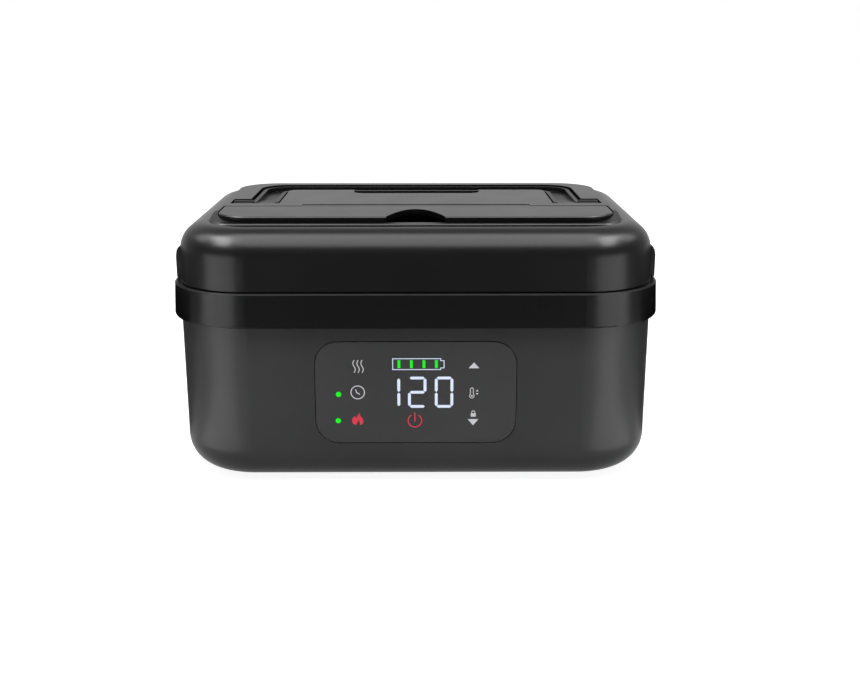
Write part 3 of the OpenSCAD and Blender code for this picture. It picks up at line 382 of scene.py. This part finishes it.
# The keys stand in a column on each side of the display
KEY_RIGHT = 27.8
KEY_LEFT = -28.0
ARROW_HALF_W = 2.6
UP_Z = 12.3
UP_H = 2.9
DOWN_X = KEY_RIGHT - 0.2
DOWN_Z = -13.4
DOWN_H = 3.1
mark("up_key", [arrow(KEY_RIGHT, UP_Z, ARROW_HALF_W, UP_H)], PRINT)
mark("down_key", [arrow(DOWN_X, DOWN_Z, ARROW_HALF_W, -DOWN_H)], PRINT)

# Three wavy lines of rising heat
WAVES_X = KEY_LEFT + 0.5
WAVE_GAP = 1.9
WAVE_SWING = 0.55
WAVE_FOOT = 10.3
WAVE_H = 6.0
WAVE_LINE = 0.42
WAVE_STEPS = 16


def wave(x):
    """Points up a line that swings once to the right and once to the left."""
    swings = [WAVE_SWING * math.sin(2 * math.pi * i / WAVE_STEPS) for i in range(WAVE_STEPS + 1)]
    return [(x + swing, WAVE_FOOT + WAVE_H * i / WAVE_STEPS) for i, swing in enumerate(swings)]


heat_lines = []
for offset in (-WAVE_GAP, 0, WAVE_GAP):
    heat_lines += stroke(wave(WAVES_X + offset), WAVE_LINE)
mark("keep_warm_key", heat_lines, PRINT)

ROUND_KEY_R = 3.25
CLOCK = (KEY_LEFT + 0.1, 0.3)
CLOCK_HANDS = [(-0.9, 1.3), (-0.5, -0.1), (0.9, -0.9)]
CLOCK_LINE = 0.45
clock_ring = stroke(arc(*CLOCK, ROUND_KEY_R, 0, 360), CLOCK_LINE)
clock_hands = stroke(moved(CLOCK_HANDS, *CLOCK), CLOCK_LINE)
mark("timer_key", clock_ring + clock_hands, PRINT)

# The flame's outline about its middle, from its left foot up and round
FLAME_MIDDLE = (KEY_LEFT - 0.15, -13.4)
FLAME = [(-1.55, -2.62), (-2.4, -2.0), (-2.7, -1.1), (-2.55, 0.36), (-1.95, 1.2), (-1.3, 1.8), (-1.0, 0.9),
         (-0.6, 0.65), (-0.1, 1.9), (0.5, 2.7), (1.2, 3.2), (1.15, 2.2), (1.4, 1.5), (2.0, 1.0), (2.6, 0),
         (2.75, -1.3), (2.4, -2.1), (1.7, -2.7), (0.95, -2.75), (1.1, -1.9), (0.9, -1.1), (0.2, -0.4),
         (0.0, -1.2), (-0.4, -1.8), (-0.5, -2.75)]
mark("heat_key", [moved(FLAME, *FLAME_MIDDLE)], RED)

# The power sign: a ring open at the top, with a bar in the opening
POWER = (-0.5, -14.1)
POWER_RING = (125, 415)
POWER_BAR = [(0, 4.0), (0, -0.4)]
POWER_LINE = 0.5
power_ring = stroke(arc(*POWER, ROUND_KEY_R, *POWER_RING), POWER_LINE)
power_bar = stroke(moved(POWER_BAR, *POWER), POWER_LINE)
mark("power_key", power_ring + power_bar, RED)

# The thermometer: a stem with a round top on a bulb, and an arrow up and one down beside it
STEM_X = KEY_RIGHT - 0.9
STEM_R = 0.7
STEM_TOP = 1.8
STEM_STEPS = 8
BULB_Z = -1.55
BULB_R = 1.1
BULB_RING = (130, 410)
NECK_Z = -0.7
THERMOMETER_LINE = 0.36
DOT_R = 0.45
DOT_STEPS = 12
SMALL_ARROWS_X = STEM_X + 2.55
SMALL_ARROW_HALF_W = 0.65
SMALL_ARROW_H = 0.9
SMALL_UP_Z = 0.7
SMALL_DOWN_Z = -0.2
thermometer = (arc(STEM_X, BULB_Z, BULB_R, *BULB_RING) + arc(STEM_X, STEM_TOP, STEM_R, 0, 180, STEM_STEPS)
               + [(STEM_X - STEM_R, NECK_Z)])
small_arrows = [arrow(SMALL_ARROWS_X, SMALL_UP_Z, SMALL_ARROW_HALF_W, SMALL_ARROW_H),
                arrow(SMALL_ARROWS_X, SMALL_DOWN_Z, SMALL_ARROW_HALF_W, -SMALL_ARROW_H)]
bulb_dot = disc(STEM_X, BULB_Z, DOT_R, DOT_STEPS)
mark("temperature_mark", stroke(thermometer, THERMOMETER_LINE) + [bulb_dot] + small_arrows, PRINT)

# The padlock: a block with a shackle on it
LOCK_X = KEY_RIGHT - 0.1
LOCK_TOP = -10.4
LOCK_W = 2.4
LOCK_H = 1.7
SHACKLE = [(-0.75, 0), (-0.75, 0.7), (-0.375, 1.2), (0.375, 1.2), (0.75, 0.7), (0.75, 0)]
SHACKLE_LINE = 0.36
lock_block = rectangle(LOCK_X, LOCK_TOP - LOCK_H / 2, LOCK_W, LOCK_H)
mark("lock_mark", [lock_block] + stroke(moved(SHACKLE, LOCK_X, LOCK_TOP), SHACKLE_LINE), PRINT)


# The floor and the backdrop, in metres as the lamps are

FLOOR_SIZE = 12
FLOOR_SHADE = 0.45
# How bright the floor looks of itself to the eye and in reflections
FLOOR_LIFT = 0.9
# How strongly the room lights the object, from before it and from behind
ROOM_FRONT = 0.2
ROOM_BACK = 0.5


def seen_directly(tree):
    """1 on the rays that show the background: from the camera, off a glossy surface or through glass."""
    path = tree.nodes.new("ShaderNodeLightPath")
    total = path.outputs["Is Camera Ray"]
    for kind in ("Is Glossy Ray", "Is Transmission Ray"):
        either = tree.nodes.new("ShaderNodeMath")
        either.operation = "MAXIMUM"
        tree.links.new(total, either.inputs[0])
        tree.links.new(path.outputs[kind], either.inputs[1])
        total = either.outputs["Value"]
    return total


def floor():
    """A plain pale floor that runs to white and keeps the shadow under the box."""
    bpy.ops.mesh.primitive_plane_add(size=FLOOR_SIZE, location=(0, 0, 0))
    ground = bpy.context.active_object
    ground.name = "floor"
    material, tree, shader = new_material("floor_white")
    shader.inputs["Base Color"].default_value = (FLOOR_SHADE, FLOOR_SHADE, FLOOR_SHADE, 1)
    shader.inputs["Roughness"].default_value = 0.9
    shader.inputs["Specular IOR Level"].default_value = 0.0
    lift = tree.nodes.new("ShaderNodeMath")
    lift.operation = "MULTIPLY"
    lift.inputs[1].default_value = FLOOR_LIFT
    tree.links.new(seen_directly(tree), lift.inputs[0])
    shader.inputs["Emission Color"].default_value = (1, 1, 1, 1)
    tree.links.new(lift.outputs["Value"], shader.inputs["Emission Strength"])
    ground.data.materials.append(material)


def backdrop():
    """White to the eye; a soft grey room for the light, brighter behind the box than before it."""
    world = bpy.data.worlds.new("room")
    bpy.context.scene.world = world
    world.use_nodes = True
    tree = world.node_tree
    tree.nodes.clear()
    coords = tree.nodes.new("ShaderNodeTexCoord")
    split = tree.nodes.new("ShaderNodeSeparateXYZ")
    spread = add(tree, "ShaderNodeMapRange", From_Min=-0.5, From_Max=0.5, To_Min=ROOM_FRONT, To_Max=ROOM_BACK)
    room = tree.nodes.new("ShaderNodeBackground")
    white = add(tree, "ShaderNodeBackground", Color=(1, 1, 1, 1), Strength=1.0)
    mix = tree.nodes.new("ShaderNodeMixShader")
    output = tree.nodes.new("ShaderNodeOutputWorld")
    tree.links.new(coords.outputs["Generated"], split.inputs["Vector"])
    tree.links.new(split.outputs["Y"], spread.inputs["Value"])
    tree.links.new(spread.outputs["Result"], room.inputs["Strength"])
    tree.links.new(seen_directly(tree), mix.inputs["Fac"])
    tree.links.new(room.outputs["Background"], mix.inputs[1])
    tree.links.new(white.outputs["Background"], mix.inputs[2])
    tree.links.new(mix.outputs["Shader"], output.inputs["Surface"])


# The black card lies on the floor behind the box
CARD_PLACE = (0, 0.36, 0.001)
CARD_SIZE = (1.6, 0.76)


def black_card():
    """A black card that only glossy surfaces see: it keeps the box's outline dark."""
    bpy.ops.mesh.primitive_plane_add(size=1, location=CARD_PLACE)
    card = bpy.context.active_object
    card.name = "black_card"
    card.scale = (*CARD_SIZE, 1)
    material, tree, shader = new_material("card_black")
    shader.inputs["Base Color"].default_value = (0, 0, 0, 1)
    shader.inputs["Specular IOR Level"].default_value = 0.0
    card.data.materials.append(material)
    card.visible_camera = card.visible_diffuse = card.visible_shadow = False


floor()
backdrop()
black_card()


# The lamps: some only light colours, and some only show in glossy surfaces

BOX_MIDDLE = (0, 0, 0.07)
LID_FRONT = (0, -0.06, 0.12)
# The middle of the right front corner's rounding, and how far off the floor its reflectors lie
CORNER_MIDDLE = (0.09, -0.06)
REFLECTOR_LIFT = 0.002
# How many degrees a corner's reflectors turn away from straight ahead
REFLECTOR_TURN = 46
# How many degrees a glint panel is turned in its own plane, and each one's power in watts
GLINT_TURN = 29
GLINT_POWER = {"left": 44, "right": 37}


def softbox(name, place, aim, size, power, beam=180, mirrored=True, lighting=True, turn=0):
    """A rectangular studio light that faces a point, and may be turned about the way it faces."""
    data = bpy.data.lights.new(name, "AREA")
    data.shape = "RECTANGLE"
    data.size, data.size_y = size
    data.energy = power
    data.spread = math.radians(beam)
    light = bpy.data.objects.new(name, data)
    light.visible_camera = False
    light.visible_glossy = mirrored
    light.visible_diffuse = lighting
    bpy.context.scene.collection.objects.link(light)
    light.location = place
    facing = (Vector(aim) - Vector(place)).to_track_quat("-Z", "Y").to_matrix()
    light.rotation_euler = (facing @ Matrix.Rotation(math.radians(turn), 3, "Z")).to_euler()
    return light


def floor_reflector(name, side, near, far, width, power):
    """A low reflector on the floor before a front corner, which draws the soft line down that corner."""
    turn = math.radians(REFLECTOR_TURN)
    out = Vector((side * math.sin(turn), -math.cos(turn), 0))
    corner = Vector((side * CORNER_MIDDLE[0], CORNER_MIDDLE[1], REFLECTOR_LIFT))
    middle = corner + out * (near + far) / 2
    light = softbox(name, middle, middle + Vector((0, 0, 1)), (width, far - near), power, lighting=False)
    light.rotation_euler = (math.pi, 0, math.atan2(out.y, out.x) - math.pi / 2)


softbox("key", place=(0, -0.42, 1.0), aim=LID_FRONT, size=(0.6, 0.3), power=6.5, mirrored=False)
softbox("overhead", place=(0, -0.32, 0.72), aim=(0, -0.32, 0), size=(0.66, 0.76), power=33, lighting=False)
softbox("back_softbox", place=(0, 0.7, 0.6), aim=BOX_MIDDLE, size=(0.9, 0.4), power=5, mirrored=False)
softbox("low_fill", place=(0, -0.36, 0.02), aim=(0, 0, 0.02), size=(0.6, 0.05), power=0.1, beam=40,
        mirrored=False)
for side, hand in ((-1, "left"), (1, "right")):
    softbox(hand + "_glint", place=(side * 0.54, -0.3, 0.72), aim=(side * 0.54, -0.3, 0), size=(0.32, 0.64),
            power=GLINT_POWER[hand], lighting=False, turn=side * GLINT_TURN)
    softbox(hand + "_far_glint", place=(side * 0.78, 0.12, 0.74), aim=LID_FRONT, size=(0.4, 0.4), power=6,
            lighting=False)
    softbox(hand + "_side", place=(side * 0.9, 0.1, 0.4), aim=BOX_MIDDLE, size=(0.4, 0.4), power=1.2,
            mirrored=False)
    softbox(hand + "_panel", place=(side * 0.55, -0.5, 0.055), aim=(0, 0, 0.055), size=(0.6, 0.11), power=3,
            lighting=False)
    floor_reflector(hand + "_near_reflector", side, near=0.05, far=0.25, width=0.09, power=0.45)
    floor_reflector(hand + "_far_reflector", side, near=0.25, far=0.6, width=0.36, power=3.8)


# The camera, at the photograph's viewing angle

# The photograph's width and the camera's focal length, both in the photograph's pixels
FRAME_PIXELS = 860
FOCAL_PIXELS = 1150
CAMERA_PLACE = (3.4 * MM, -611.5 * MM, 216.3 * MM)
# How many degrees the camera looks down, and how many it turns to the right
CAMERA_DOWN = 15.71
CAMERA_RIGHT = 0.37
SENSOR_WIDTH = 36
NEAR_CLIP = 0.01
camera_data = bpy.data.cameras.new("camera")
camera_data.sensor_width = SENSOR_WIDTH
camera_data.lens = FOCAL_PIXELS / FRAME_PIXELS * SENSOR_WIDTH
camera_data.clip_start = NEAR_CLIP
camera = bpy.data.objects.new("camera", camera_data)
bpy.context.scene.collection.objects.link(camera)
camera.location = CAMERA_PLACE
camera.rotation_euler = (math.radians(90 - CAMERA_DOWN), 0, math.radians(-CAMERA_RIGHT))
bpy.context.scene.camera = camera
bpy.context.scene.view_settings.view_transform = "Standard"
